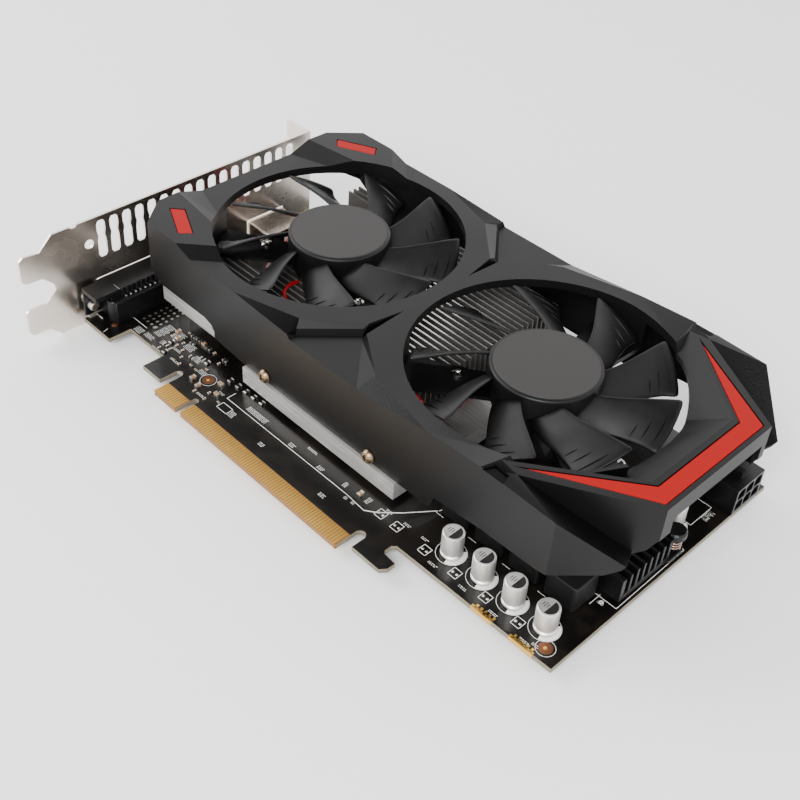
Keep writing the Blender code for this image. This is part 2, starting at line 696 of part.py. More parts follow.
def blade_points(x, turn, index):
    """Rings of points of one blade, from the hub outwards: top edge ahead, lower edge behind."""
    stations = ((HUB_R - 0.7, -21.0, -55.0, 32.6), (22.0, -13.5, -39.5, 33.0), (28.0, -7.2, -29.7, 33.6),
                (34.0, -2.6, -25.1, 33.8), (BLADE_R, 0.0, -25.0, 34.0))
    rings = []
    for r, lead, trail, high in stations:
        line = []
        for k in range(3):
            t = k / 2.0
            a = math.radians(turn + 40.0 * index + lead + (trail - lead) * t)
            drop = (high - ROTOR_FOOT - 1.2) * t
            line.append((x + r * math.cos(a), AXIS_Y + r * math.sin(a), high - 0.5 - drop))
        rings.append(line)
    return rings


def make_blade(x, turn, index):
    rings = blade_points(x, turn, index)
    bm = bmesh.new()
    top = [[bm.verts.new((p[0], p[1], p[2] + 0.5)) for p in line] for line in rings]
    low = [[bm.verts.new((p[0], p[1], p[2] - 0.5)) for p in line] for line in rings]
    rows, columns = len(rings), len(rings[0])
    for i in range(rows - 1):
        for k in range(columns - 1):
            bm.faces.new((top[i][k], top[i + 1][k], top[i + 1][k + 1], top[i][k + 1]))
            bm.faces.new((low[i][k], low[i][k + 1], low[i + 1][k + 1], low[i + 1][k]))
    for i in range(rows - 1):
        for k in (0, columns - 1):
            bm.faces.new((top[i][k], low[i][k], low[i + 1][k], top[i + 1][k]))
    for i in (0, rows - 1):
        for k in range(columns - 1):
            bm.faces.new((top[i][k], top[i][k + 1], low[i][k + 1], low[i][k]))
    bmesh.ops.triangulate(bm, faces=bm.faces[:])
    return new_object("blade", bm)


def make_fan(number, x, turn):
    tag = "fan%d_" % number
    hub = [(0.0, HUB_TOP), (HUB_R - 0.9, HUB_TOP), (HUB_R, HUB_TOP - 0.9), (HUB_R, ROTOR_FOOT),
           (15.3, ROTOR_FOOT), (15.3, 32.4), (0.0, 32.4)]
    rotor = lathe(tag + "rotor", "Z", x, AXIS_Y, hub, 36)
    for index in range(BLADE_COUNT):
        boolean(rotor, make_blade(x, turn, index), "UNION")
    pivot = (x, AXIS_Y, 0.5 * (HUB_TOP + ROTOR_FOOT))
    keep(rotor, "fan_plastic", pivot)
    keep(tube(tag + "magnet_ring", "Z", x, AXIS_Y, 15.0, 13.4, 25.4, 31.8, 24), "magnet", pivot)
    keep(cylinder(tag + "shaft", "Z", x, AXIS_Y, 1.5, 24.0, 32.2, 24), "steel", pivot)
    keep(tube(tag + "bearing", "Z", x, AXIS_Y, 3.3, 1.58, 24.2, 31.0, 24), "bronze")
    base = cylinder(tag + "base", "Z", x, AXIS_Y, 15.4, 22.2, 23.4, 36)
    boolean(base, cylinder("socket", "Z", x, AXIS_Y, 4.5, 23.0, 30.0, 24), "UNION")
    for angle in SPOKE_ANGLES:
        a = math.radians(angle + ARM_SHIFT)
        ux, uy = math.cos(a), math.sin(a)
        corners = []
        for r, half in ((11.0, 5.8), (11.0, -5.8), (40.6, -5.8), (40.6, 5.8)):
            corners.append((x + r * ux - half * uy, AXIS_Y + r * uy + half * ux))
        boolean(base, prism("arm", corners, "Z", 22.2, 23.4), "UNION")
        a = math.radians(angle)
        sx, sy = x + LUG_R * math.cos(a), AXIS_Y + LUG_R * math.sin(a)
        boolean(base, cylinder("boss", "Z", sx, sy, 4.0, 22.2, 23.4, 20), "UNION")
    boolean(base, cylinder("bore", "Z", x, AXIS_Y, 3.5, 23.8, 31.0, 24))
    for index, angle in enumerate(SPOKE_ANGLES):
        a = math.radians(angle)
        sx, sy = x + LUG_R * math.cos(a), AXIS_Y + LUG_R * math.sin(a)
        boolean(base, cylinder("hole", "Z", sx, sy, 1.15, 21.0, 25.0, 12))
        head = [(0.0, 24.3), (1.1, 24.3), (1.9, 23.9), (1.9, 23.5), (0.85, 23.5), (0.85, 20.7), (0.0, 20.7)]
        keep(lathe(tag + "screw_%d" % (index + 1), "Z", sx, sy, head, 12), "steel")
    keep(base, "fan_plastic")
    keep(make_stator(tag + "stator", x), "core_iron")


def make_stator(name, x):
    """Star-shaped iron core with six wound poles, as one piece."""
    points = []
    for pole in range(6):
        for r, offset in ((7.2, -24.0), (7.2, -14.0), (11.0, -9.0), (11.0, -20.0), (12.8, -21.0),
                          (12.8, -7.0), (12.8, 7.0), (12.8, 21.0), (11.0, 20.0), (11.0, 9.0), (7.2, 14.0),
                          (7.2, 24.0)):
            a = math.radians(60.0 * pole + offset)
            points.append((x + r * math.cos(a), AXIS_Y + r * math.sin(a)))
    return prism(name, points, "Z", 25.6, 30.6, [circle(x, AXIS_Y, 4.8, 24)])


def make_lead(name, finish_name, path, r):
    """Round insulated wire along a bent path."""
    bm = bmesh.new()
    sides = 8
    rims = []
    for i, p in enumerate(path):
        before = path[max(i - 1, 0)]
        after = path[min(i + 1, len(path) - 1)]
        d = [after[k] - before[k] for k in range(3)]
        length = math.sqrt(sum(c * c for c in d))
        d = [c / length for c in d]
        flat = math.hypot(d[0], d[1])
        side = (-d[1] / flat, d[0] / flat, 0.0)
        up = (d[1] * side[2] - d[2] * side[1], d[2] * side[0] - d[0] * side[2],
              d[0] * side[1] - d[1] * side[0])
        rim = []
        for k in range(sides):
            a = 2.0 * math.pi * k / sides
            c, s = r * math.cos(a), r * math.sin(a)
            rim.append(bm.verts.new([p[j] + c * side[j] + s * up[j] for j in range(3)]))
        rims.append(rim)
    for here, there in zip(rims, rims[1:]):
        for k in range(sides):
            j = (k + 1) % sides
            bm.faces.new((here[k], here[j], there[j], there[k]))
    bm.faces.new(rims[0])
    bm.faces.new(list(reversed(rims[-1])))
    return keep(new_object(name, bm), finish_name)


def make_leads():
    y = AXIS_Y
    red = [(-20.0, y + 8.2, 22.6), (-24.0, y + 9.4, 22.4), (-28.5, y + 10.2, 21.6), (-33.0, y + 11.0, 19.6),
           (-37.5, y + 12.4, 16.0), (-41.0, y + 13.8, 11.4), (-43.6, y + 14.8, 8.2), (-44.8, y + 15.2, 6.6),
           (-45.1, y + 15.4, 4.6), (-45.2, y + 15.5, 2.6)]
    make_lead("fan_lead_red", "wire_red", red, 0.75)
    black = [(px, py + 2.4, pz) for px, py, pz in red]
    make_lead("fan_lead_black", "wire_black", black, 0.75)
    far = [(71.6, 81.6, 22.8), (69.0, 83.6, 21.6), (66.4, 84.6, 18.0), (63.6, 82.6, 13.0), (61.6, 78.0, 9.8),
           (60.4, 70.0, 9.1), (59.6, 58.0, 9.1), (59.2, 50.0, 10.6), (58.6, 47.2, 14.0), (57.6, 46.3, 16.4),
           (56.0, 46.2, 17.2), (53.0, 46.2, 17.2), (-1.0, 46.2, 17.2), (-3.4, 46.2, 18.4),
           (-4.6, 46.2, 20.6), (-5.6, 48.4, 21.2), (-6.1, 51.0, 21.2), (-6.2, 53.4, 20.6), (-7.6, 53.4, 18.6),
           (-10.0, 53.4, 17.2), (-19.5, 53.4, 17.0), (-24.0, 55.0, 15.6), (-30.0, 62.0, 12.4),
           (-37.0, 73.0, 9.4), (-42.4, 81.0, 8.4), (-44.9, 83.5, 7.2), (-45.1, 83.5, 5.0), (-45.2, 83.5, 2.6)]
    make_lead("fan2_lead_red", "wire_red", far, 0.6)


def finish():
    """Move every piece to the common frame, in metres, with its origin on its pivot."""
    for ob, pivot in REST:
        ob.data.shade_smooth()
        ob.data.set_sharp_from_angle(angle=SMOOTH_ANGLE)
        for vert in ob.data.vertices:
            vert.co.x = (vert.co.x - pivot[0]) * MM
            vert.co.y = (vert.co.y - pivot[1]) * MM
            vert.co.z = (vert.co.z - pivot[2]) * MM
        ob.location = ((pivot[0] - CENTRE_X) * MM, (pivot[1] - CENTRE_Y) * MM, (pivot[2] - BASE_Z) * MM)


def main():
    clear()
    make_board()
    make_bracket()
    make_dvi()
    make_small_port("hdmi", 52.2, 66.8, 6.7, -50.0)
    make_small_port("displayport", 75.8, 91.8, 7.4, -48.0)
    make_shroud()
    make_trim()
    make_side_screws()
    make_heatsink()
    make_vrm_heatsink()
    make_push_pin()
    make_power_connector()
    make_board_parts()
    for number, (x, turn) in enumerate(zip(FAN_X, FAN_TURN)):
        make_fan(number + 1, x, turn)
    make_leads()
    finish()
    bpy.context.view_layer.update()


main()
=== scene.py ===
import bpy
import math
import random
from mathutils import Matrix, Vector


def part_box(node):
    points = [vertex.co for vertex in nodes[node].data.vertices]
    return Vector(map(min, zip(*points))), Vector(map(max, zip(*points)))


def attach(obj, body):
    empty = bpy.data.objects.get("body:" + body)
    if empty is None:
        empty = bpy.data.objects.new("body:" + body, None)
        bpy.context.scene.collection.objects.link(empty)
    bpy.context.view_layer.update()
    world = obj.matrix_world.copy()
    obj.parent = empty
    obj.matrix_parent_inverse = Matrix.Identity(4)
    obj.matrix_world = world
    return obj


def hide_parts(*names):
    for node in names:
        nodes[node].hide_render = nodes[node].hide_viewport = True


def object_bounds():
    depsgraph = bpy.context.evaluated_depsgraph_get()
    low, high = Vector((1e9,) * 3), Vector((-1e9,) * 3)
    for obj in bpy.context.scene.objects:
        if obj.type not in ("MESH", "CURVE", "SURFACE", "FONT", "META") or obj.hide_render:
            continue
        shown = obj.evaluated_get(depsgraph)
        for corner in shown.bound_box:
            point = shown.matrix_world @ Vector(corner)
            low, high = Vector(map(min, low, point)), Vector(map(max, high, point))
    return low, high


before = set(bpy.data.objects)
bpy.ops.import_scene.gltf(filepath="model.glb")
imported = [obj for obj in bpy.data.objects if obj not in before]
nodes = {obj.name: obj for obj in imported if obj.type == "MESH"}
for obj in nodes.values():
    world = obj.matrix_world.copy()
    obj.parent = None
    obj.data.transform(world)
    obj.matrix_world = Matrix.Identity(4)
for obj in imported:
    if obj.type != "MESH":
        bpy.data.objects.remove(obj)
cadLow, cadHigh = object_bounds()

mm = 0.001
boardLow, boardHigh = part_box("pcb")
datum = Vector((boardLow.x + 57.5 * mm, boardLow.y, boardHigh.z))  # connector key, on the board's face
fanLine = 70.1  # both fans' axes, measured up from the connector's lower edge


def at(x, y, z=0.0):  # millimetres from the connector key, z above the board
    return datum + Vector((x, y, z)) * mm


def hexColor(code):  # sRGB hex to linear
    parts = [int(code[i:i + 2], 16) / 255.0 for i in (0, 2, 4)]
    return tuple(c / 12.92 if c <= 0.04045 else ((c + 0.055) / 1.055) ** 2.4 for c in parts) + (1.0,)


def selectOnly(*pieces):
    if bpy.context.object and bpy.context.object.mode != "OBJECT":
        bpy.ops.object.mode_set(mode="OBJECT")
    bpy.ops.object.select_all(action="DESELECT")
    for piece in pieces:
        piece.select_set(True)
    bpy.context.view_layer.objects.active = pieces[-1]


def applyPlace(piece):
    selectOnly(piece)
    bpy.ops.object.transform_apply(location=True, rotation=True, scale=True)
    return piece


def applyModifiers(piece):
    selectOnly(piece)
    for modifier in list(piece.modifiers):
        bpy.ops.object.modifier_apply(modifier=modifier.name)
    return piece


def softEdges(piece, width, segments=2, angle=30.0):
    bevel = piece.modifiers.new("softEdge", "BEVEL")
    bevel.width = width * mm
    bevel.segments = segments
    bevel.limit_method = "ANGLE"
    bevel.angle_limit = math.radians(angle)
    return applyModifiers(piece)


def evenShading(piece, angle=34.0):  # smooth rounds, with flat faces kept flat
    selectOnly(piece)
    bpy.ops.object.shade_smooth_by_angle(angle=math.radians(angle))
    weighted = piece.modifiers.new("evenNormals", "WEIGHTED_NORMAL")
    weighted.keep_sharp = True
    return applyModifiers(piece)


def joined(pieces):
    selectOnly(*pieces)
    if len(pieces) > 1:
        bpy.ops.object.join()
    return bpy.context.object


def duplicated(piece, matrix):
    twin = bpy.data.objects.new(piece.name, piece.data.copy())
    bpy.context.scene.collection.objects.link(twin)
    twin.data.transform(matrix)
    return twin


def paint(piece, finish):
    piece.data.materials.clear()
    piece.data.materials.append(finish)
    return piece


def place(piece, name, body="card", stands=()):
    piece.name = name
    piece.data.name = name
    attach(piece, body)
    if stands:
        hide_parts(*stands)
    return piece


def nodeCopy(node):  # an editable copy of a CAD node, loose triangles merged into clean faces
    piece = bpy.data.objects.new(node + "Copy", nodes[node].data.copy())
    bpy.context.scene.collection.objects.link(piece)
    piece.data.materials.clear()
    selectOnly(piece)
    bpy.ops.object.mode_set(mode="EDIT")
    bpy.ops.mesh.select_all(action="SELECT")
    bpy.ops.mesh.remove_doubles(threshold=0.000002)
    bpy.ops.mesh.dissolve_limited(angle_limit=math.radians(0.6))
    bpy.ops.object.mode_set(mode="OBJECT")
    return piece


def block(low, high, finish, soft=0.0):  # a cube set to its size, edges eased
    bpy.ops.mesh.primitive_cube_add(size=1.0, location=(Vector(low) + Vector(high)) / 2.0)
    piece = bpy.context.object
    piece.scale = Vector(high) - Vector(low)
    applyPlace(piece)
    if soft:
        softEdges(piece, soft, 1)
    return paint(piece, finish)


def plate(points, low, high, finish, soft=0.0):  # an outline in the board's plane, filled and extruded
    bpy.ops.mesh.primitive_circle_add(vertices=len(points), radius=1.0, fill_type="NGON")
    piece = bpy.context.object
    for vertex, point in zip(piece.data.vertices, points):
        vertex.co = at(point[0], point[1], low)
    bpy.ops.object.mode_set(mode="EDIT")
    bpy.ops.mesh.select_all(action="SELECT")
    bpy.ops.mesh.extrude_region_move(TRANSFORM_OT_translate={"value": (0.0, 0.0, (high - low) * mm)})
    bpy.ops.mesh.select_all(action="SELECT")
    bpy.ops.mesh.normals_make_consistent(inside=False)
    bpy.ops.object.mode_set(mode="OBJECT")
    if soft:
        softEdges(piece, soft, 1)
    return paint(piece, finish)


def turned(profile, x, y, finish, steps=48):  # (radius, height) pairs spun round an upright axis
    bpy.ops.mesh.primitive_circle_add(vertices=len(profile), radius=1.0, fill_type="NOTHING")
    piece = bpy.context.object
    for vertex, point in zip(piece.data.vertices, profile):
        vertex.co = at(x + point[0], y, point[1])
    bpy.ops.object.mode_set(mode="EDIT")
    bpy.ops.mesh.select_all(action="SELECT")
    bpy.ops.mesh.spin(steps=steps, angle=math.radians(360.0), center=at(x, y), axis=(0.0, 0.0, 1.0))
    bpy.ops.mesh.select_all(action="SELECT")
    bpy.ops.mesh.remove_doubles(threshold=0.000004)
    bpy.ops.mesh.normals_make_consistent(inside=False)
    bpy.ops.object.mode_set(mode="OBJECT")
    return paint(piece, finish)


def wire(points, radius, finish):  # a round wire along points, as mesh
    bpy.ops.curve.primitive_bezier_curve_add()
    piece = bpy.context.object
    piece.location = (0.0, 0.0, 0.0)
    piece.data.splines.clear()
    spline = piece.data.splines.new("NURBS")
    spline.points.add(len(points) - 1)
    for knot, point in zip(spline.points, points):
        knot.co = tuple(at(*point)) + (1.0,)
    spline.order_u = 4
    spline.use_endpoint_u = True
    piece.data.bevel_depth = radius * mm
    piece.data.bevel_resolution = 3
    piece.data.use_fill_caps = True
    piece.data.resolution_u = 6
    selectOnly(piece)
    bpy.ops.object.convert(target="MESH")
    piece = bpy.context.object
    bpy.ops.object.shade_smooth()
    return paint(piece, finish)


def addNode(tree, kind, settings=None, links=None):
    node = tree.nodes.new(kind)
    for key, value in (settings or {}).items():
        if hasattr(node, key):
            setattr(node, key, value)
        else:
            node.inputs[key].default_value = value
    for key, socket in (links or {}).items():
        tree.links.new(socket, node.inputs[key])
    return node


def newFinish(title, color, roughness, metallic=0.0, coat=0.0, specular=0.5):
    finish = bpy.data.materials.new(title)
    finish.use_nodes = True
    shader = finish.node_tree.nodes["Principled BSDF"]
    shader.inputs["Base Color"].default_value = hexColor(color)
    shader.inputs["Roughness"].default_value = roughness
    shader.inputs["Metallic"].default_value = metallic
    shader.inputs["Coat Weight"].default_value = coat
    shader.inputs["Specular IOR Level"].default_value = specular
    return finish


def objectPlace(tree, stretch=(1.0, 1.0, 1.0)):
    spot = addNode(tree, "ShaderNodeTexCoord")
    return addNode(tree, "ShaderNodeMapping", {"Scale": stretch}, {"Vector": spot.outputs["Object"]})


def grainBump(finish, sizeMm, heightMm, strength=0.5, stretch=(1.0, 1.0, 1.0), detail=2.0):
    tree = finish.node_tree
    shader = tree.nodes["Principled BSDF"]
    spot = objectPlace(tree, stretch)
    noise = addNode(tree, "ShaderNodeTexNoise", {"Scale": 1000.0 / sizeMm, "Detail": detail},
                    {"Vector": spot.outputs["Vector"]})
    bump = addNode(tree, "ShaderNodeBump", {"Strength": strength, "Distance": heightMm * mm},
                   {"Height": noise.outputs["Fac"]})
    tree.links.new(bump.outputs["Normal"], shader.inputs["Normal"])


def roughnessDrift(finish, sizeMm, low, high, stretch=(1.0, 1.0, 1.0)):
    tree = finish.node_tree
    shader = tree.nodes["Principled BSDF"]
    spot = objectPlace(tree, stretch)
    noise = addNode(tree, "ShaderNodeTexNoise", {"Scale": 1000.0 / sizeMm, "Detail": 3.0},
                    {"Vector": spot.outputs["Vector"]})
    levels = {"From Min": 0.3, "From Max": 0.7, "To Min": low, "To Max": high}
    drift = addNode(tree, "ShaderNodeMapRange", levels, {"Value": noise.outputs["Fac"]})
    tree.links.new(drift.outputs["Result"], shader.inputs["Roughness"])


def colorDrift(finish, sizeMm, first, second, stretch=(1.0, 1.0, 1.0), edges=(0.35, 0.65), detail=3.0):
    tree = finish.node_tree
    shader = tree.nodes["Principled BSDF"]
    spot = objectPlace(tree, stretch)
    noise = addNode(tree, "ShaderNodeTexNoise", {"Scale": 1000.0 / sizeMm, "Detail": detail},
                    {"Vector": spot.outputs["Vector"]})
    ramp = addNode(tree, "ShaderNodeValToRGB", None, {"Fac": noise.outputs["Fac"]})
    ramp.color_ramp.elements[0].position = edges[0]
    ramp.color_ramp.elements[0].color = hexColor(first)
    ramp.color_ramp.elements[1].position = edges[1]
    ramp.color_ramp.elements[1].color = hexColor(second)
    tree.links.new(ramp.outputs["Color"], shader.inputs["Base Color"])


# injection-moulded ABS, fine spark-eroded mould: an even satin that greys where light grazes it
mouldedAbs = newFinish("mouldedAbs", "0B0A0A", 0.4, specular=0.2)
grainBump(mouldedAbs, 0.35, 0.012, 0.35)
roughnessDrift(mouldedAbs, 30.0, 0.37, 0.44)

# the same ABS from a lighter sand-blasted patch, on the band between the fans
fineAbs = newFinish("fineAbs", "1C1C1C", 0.5, specular=0.35)
grainBump(fineAbs, 0.4, 0.05, 0.5)

# the same ABS from a coarser textured patch of the mould: dark, with a fine sparkle
# the real grit is about 0.2 mm and is drawn at 0.5 mm so that it still shows
grainedAbs = newFinish("grainedAbs", "060607", 0.4, specular=0.16)
grainBump(grainedAbs, 0.55, 0.11, 0.8, detail=1.0)

# the same ABS from a polished patch of the mould, on the narrow steps: near black and glossy
polishedAbs = newFinish("polishedAbs", "040404", 0.25, specular=0.06)

# red ABS inlay, satin
redAbs = newFinish("redAbs", "8E0303", 0.5, specular=0.12)
grainBump(redAbs, 0.35, 0.01, 0.3)

# glass-filled PBT of the fan wheels: black, soft sheen, faint flow marks across the blades
fanPbt = newFinish("fanPbt", "0A0A0A", 0.38, specular=0.22)
grainBump(fanPbt, 0.5, 0.012, 0.4)
roughnessDrift(fanPbt, 8.0, 0.34, 0.5)

# printed matt film disc on the hub: dark warm grey with a paper-fine tooth
hubFilm = newFinish("hubFilm", "1C1A19", 0.55, specular=0.4)
grainBump(hubFilm, 0.3, 0.03, 0.6)
colorDrift(hubFilm, 0.4, "1A1817", "252221")

# black solder mask over copper: near black with a brown cast, smooth, copper planes faintly seen
solderMask = newFinish("solderMask", "0E0C0A", 0.3, coat=0.1, specular=0.3)
colorDrift(solderMask, 9.0, "080706", "120F0C", edges=(0.46, 0.54), detail=1.0)
roughnessDrift(solderMask, 14.0, 0.24, 0.36)

# sawn edge of the glass-epoxy board: beige grey, dull
boardEdge = newFinish("boardEdge", "6F6858", 0.7)
colorDrift(boardEdge, 0.9, "5E5748", "7A7262", stretch=(0.2, 0.2, 3.0))

# bare laminate between the contacts: amber
tongueLaminate = newFinish("tongueLaminate", "7A5222", 0.5)

# hard gold over nickel on the contacts: warm yellow, bright
hardGold = newFinish("hardGold", "DCAE58", 0.32, 1.0)
roughnessDrift(hardGold, 3.0, 0.26, 0.4)

# bare copper on the fiducials and pads
bareCopper = newFinish("bareCopper", "6E4630", 0.45, 0.8)

# white epoxy ink, printed flat
whiteInk = newFinish("whiteInk", "E4E4E0", 0.65)

# bright tin on part ends, joints and pads
brightTin = newFinish("brightTin", "CFCCC6", 0.3, 1.0)

# sintered ceramic of the chip capacitors: tan
tanCeramic = newFinish("tanCeramic", "8F6E4E", 0.5)

# black epoxy of chip resistors and small packages
blackEpoxy = newFinish("blackEpoxy", "101011", 0.5)
grainBump(blackEpoxy, 0.25, 0.01, 0.4)

# cold-rolled steel sheet, bright nickel plated: warm silver that mirrors softly
nickelSteel = newFinish("nickelSteel", "E2D8CE", 0.24, 1.0)
grainBump(nickelSteel, 1.2, 0.01, 0.25, stretch=(1.0, 0.15, 1.0))
roughnessDrift(nickelSteel, 12.0, 0.2, 0.3)

# sawn and brushed aluminium bar: fine bright and dark streaks along its length
brushedAluminium = newFinish("brushedAluminium", "DDDBD8", 0.36, 0.8)
colorDrift(brushedAluminium, 0.35, "BDBAB6", "F0EEEB", stretch=(0.02, 1.0, 1.0), edges=(0.3, 0.7))
grainBump(brushedAluminium, 0.3, 0.02, 0.5, stretch=(0.02, 1.0, 1.0))

# extruded aluminium of the fins: the flanks are painted a darker grey as shade between the fins, and the fin
# tops are painted bright as a highlight
shadedFinAluminium = newFinish("shadedFinAluminium", "6A6866", 0.5, 0.7)
finTopHighlight = newFinish("finTopHighlight", "CFCCC8", 0.4, 0.8)

# black anodised aluminium: satin black with a metal sheen
blackAnodised = newFinish("blackAnodised", "0C0C0D", 0.38, 0.4, specular=0.3)
grainBump(blackAnodised, 0.4, 0.01, 0.3, stretch=(0.1, 1.0, 1.0))

# glass-filled nylon of the connectors: black, slightly shiny, shallow pitting
connectorNylon = newFinish("connectorNylon", "080809", 0.34, specular=0.3)
grainBump(connectorNylon, 0.6, 0.012, 0.4)

# natural nylon of the fan socket
paleNylon = newFinish("paleNylon", "CFCBBF", 0.5)

# drawn aluminium can with a clear lacquer: pale, soft, faint draw lines round it
drawnCan = newFinish("drawnCan", "E0DEDA", 0.4, 0.85)
grainBump(drawnCan, 0.5, 0.01, 0.3, stretch=(1.0, 1.0, 0.1))

# dark ink on the can tops
canInk = newFinish("canInk", "120F0F", 0.5)

# pressed iron powder of the coils: charcoal, fine grit
ironPowder = newFinish("ironPowder", "0B0B0B", 0.5, specular=0.25)
grainBump(ironPowder, 0.4, 0.03, 0.6)

# bronze-plated steel of the side screws: brown, shiny
bronzePlate = newFinish("bronzePlate", "84705A", 0.3, 1.0)

# zinc-plated steel of the fan screws and shafts: bright
brightSteel = newFinish("brightSteel", "B8B5B0", 0.22, 1.0)

# drawn and plated spring wire: coppery, shiny
springSteel = newFinish("springSteel", "8E7A6C", 0.25, 1.0)

# sintered bronze of the bearings: dull brown metal
sinteredBronze = newFinish("sinteredBronze", "8C6A42", 0.45, 1.0)

# bonded ferrite of the magnet rings: dark grey, dull
bondedMagnet = newFinish("bondedMagnet", "2A2929", 0.6, 0.2)

# stacked steel sheets of the motor cores: grey, with the stack's fine lines
coreSteel = newFinish("coreSteel", "5A5652", 0.4, 0.9)
grainBump(coreSteel, 0.5, 0.05, 0.6, stretch=(0.05, 0.05, 1.0))

# laminate of the chip package: dark green
packageLaminate = newFinish("packageLaminate", "1E3326", 0.4)

# soft vinyl over the stranded leads
redVinyl = newFinish("redVinyl", "A8101B", 0.32)
blackVinyl = newFinish("blackVinyl", "0B0B0C", 0.4)

print("finishes made")


def makeBoard():
    panel = nodeCopy("pcb")
    softEdges(panel, 0.12, 1, 50.0)
    panel.data.materials.clear()
    panel.data.materials.append(solderMask)
    panel.data.materials.append(boardEdge)
    panel.data.materials.append(tongueLaminate)
    for face in panel.data.polygons:
        middle = (face.center - datum) / mm
        tongue = middle.y < 1.2 and -13.0 < middle.x < 72.8
        face.material_index = 0 if abs(face.normal.z) > 0.85 else 2 if tongue else 1
    evenShading(panel)
    place(panel, "boardPanel", stands=["pcb"])


contactLook = {"pitch": 1.0, "width": 0.72, "low": 0.1, "high": 5.5, "thick": 0.04}
boardUnder = -1.57  # the board's underside, from its face


def makeContacts():
    rows = []
    for first, count in ((-12.1, 11), (1.45, 71)):
        for face, thick in ((0.0, contactLook["thick"]), (boardUnder, -contactLook["thick"])):
            low, high = sorted((face, face + thick))
            half = contactLook["width"] / 2.0
            lowCorner = at(first - half, contactLook["low"], low)
            highCorner = at(first + half, contactLook["high"], high)
            strip = block(lowCorner, highCorner, hardGold)
            row = strip.modifiers.new("row", "ARRAY")
            row.count = count
            row.use_relative_offset = False
            row.use_constant_offset = True
            row.constant_offset_displace = (contactLook["pitch"] * mm, 0.0, 0.0)
            rows.append(applyModifiers(strip))
    place(joined(rows), "edgeContacts")
    bare = []
    for left, right in ((-12.5, -1.1), (1.1, 72.5)):
        for face, thick in ((0.0, 0.012), (boardUnder, -0.012)):
            low, high = sorted((face, face + thick))
            bare.append(block(at(left, 0.05, low), at(right, 5.7, high), tongueLaminate))
    place(joined(bare), "tongueLaminate")


inkHeight = 0.02


def arcPoints(x, y, radius, degrees):
    angles = [math.radians(degree) for degree in degrees]
    return [(x + radius * math.cos(angle), y + radius * math.sin(angle)) for angle in angles]


def inkBar(x0, y0, x1, y1, width=0.25):
    length = math.hypot(x1 - x0, y1 - y0)
    middle = at((x0 + x1) / 2.0, (y0 + y1) / 2.0, inkHeight / 2.0)
    turn = math.atan2(y1 - y0, x1 - x0)
    bpy.ops.mesh.primitive_cube_add(size=1.0, location=middle, rotation=(0.0, 0.0, turn))
    bar = bpy.context.object
    bar.scale = Vector((length + width, width, inkHeight)) * mm
    return bar


def inkPath(points, width=0.25, closed=False):
    ends = points[1:] + (points[:1] if closed else [])
    return [inkBar(a[0], a[1], b[0], b[1], width) for a, b in zip(points, ends)]


def inkRing(x, y, outer, inner):
    return inkPath(arcPoints(x, y, (outer + inner) / 2.0, range(0, 361, 9)), outer - inner)


def inkBox(x, y, wide, high, width=0.15):
    a, b = wide / 2.0, high / 2.0
    return inkPath([(x - a, y - b), (x + a, y - b), (x + a, y + b), (x - a, y + b)], width, True)


jumperSpots = [(72.3, 17.6), (78.7, 17.6), (89.9, 17.4), (101.1, 17.7), (112.2, 17.8), (123.4, 18.1)]
canSpots = [(95.5, 22.1), (106.9, 22.1), (118.0, 22.1), (129.2, 22.0), (129.4, 77.3), (108.0, 76.6)]


def makePrint():
    marks = []
    marks += inkPath([(5.2, 18.6), (5.2, 15.1), (60.2, 15.4), (68.0, 14.8)], 0.16)
    arc = [(68.0, 14.8), (71.0, 17.0), (73.8, 20.0), (76.2, 22.7), (78.4, 25.7), (82.1, 30.7), (84.0, 35.0)]
    marks += inkPath(arc, 0.28)
    for x, y in jumperSpots:
        marks += inkBox(x, y, 2.9, 3.0)
    marks += inkBox(8.4, 11.7, 4.6, 2.8)
    for x, y in canSpots:
        marks += inkRing(x, y, 4.5, 4.36)
    marks += inkRing(133.5, 17.2, 2.75, 2.6)
    marks += inkRing(-5.4, 15.9, 2.75, 2.6)
    marks += inkPath([(110.5, 41.0), (137.7, 41.0), (137.5, 72.0), (130.2, 72.0)], 0.16)
    marks += inkPath([(-48.0, 12.1), (-47.5, 16.6), (-39.9, 16.6)], 0.15)
    marks += inkPath([(-47.2, 4.6), (-47.7, 6.5)], 0.15)
    marks += inkPath([(133.0, 39.2), (134.4, 39.2), (133.7, 40.5)], 0.5, True)
    marks += inkPath([(128.0, 81.2), (133.2, 81.2), (133.2, 91.6), (128.0, 91.6)], 0.15)
    for x in (88.2, 100.8, 113.4, 126.0):
        marks += inkPath([(x - 6.1, 29.9), (x - 3.4, 29.9)], 0.14)
        marks += inkPath([(x + 5.9, 37.0), (x + 5.9, 41.5)], 0.14)
    for x, y in canSpots:
        outer = arcPoints(x, y, 4.3, range(-75, 56, 5))
        inner = arcPoints(x, y, 3.0, range(55, -76, -5))
        marks.append(plate(outer + inner, 0.0, 0.03, whiteInk))
    mark = joined(marks)
    applyPlace(mark)
    paint(mark, whiteInk)
    place(mark, "boardPrint")


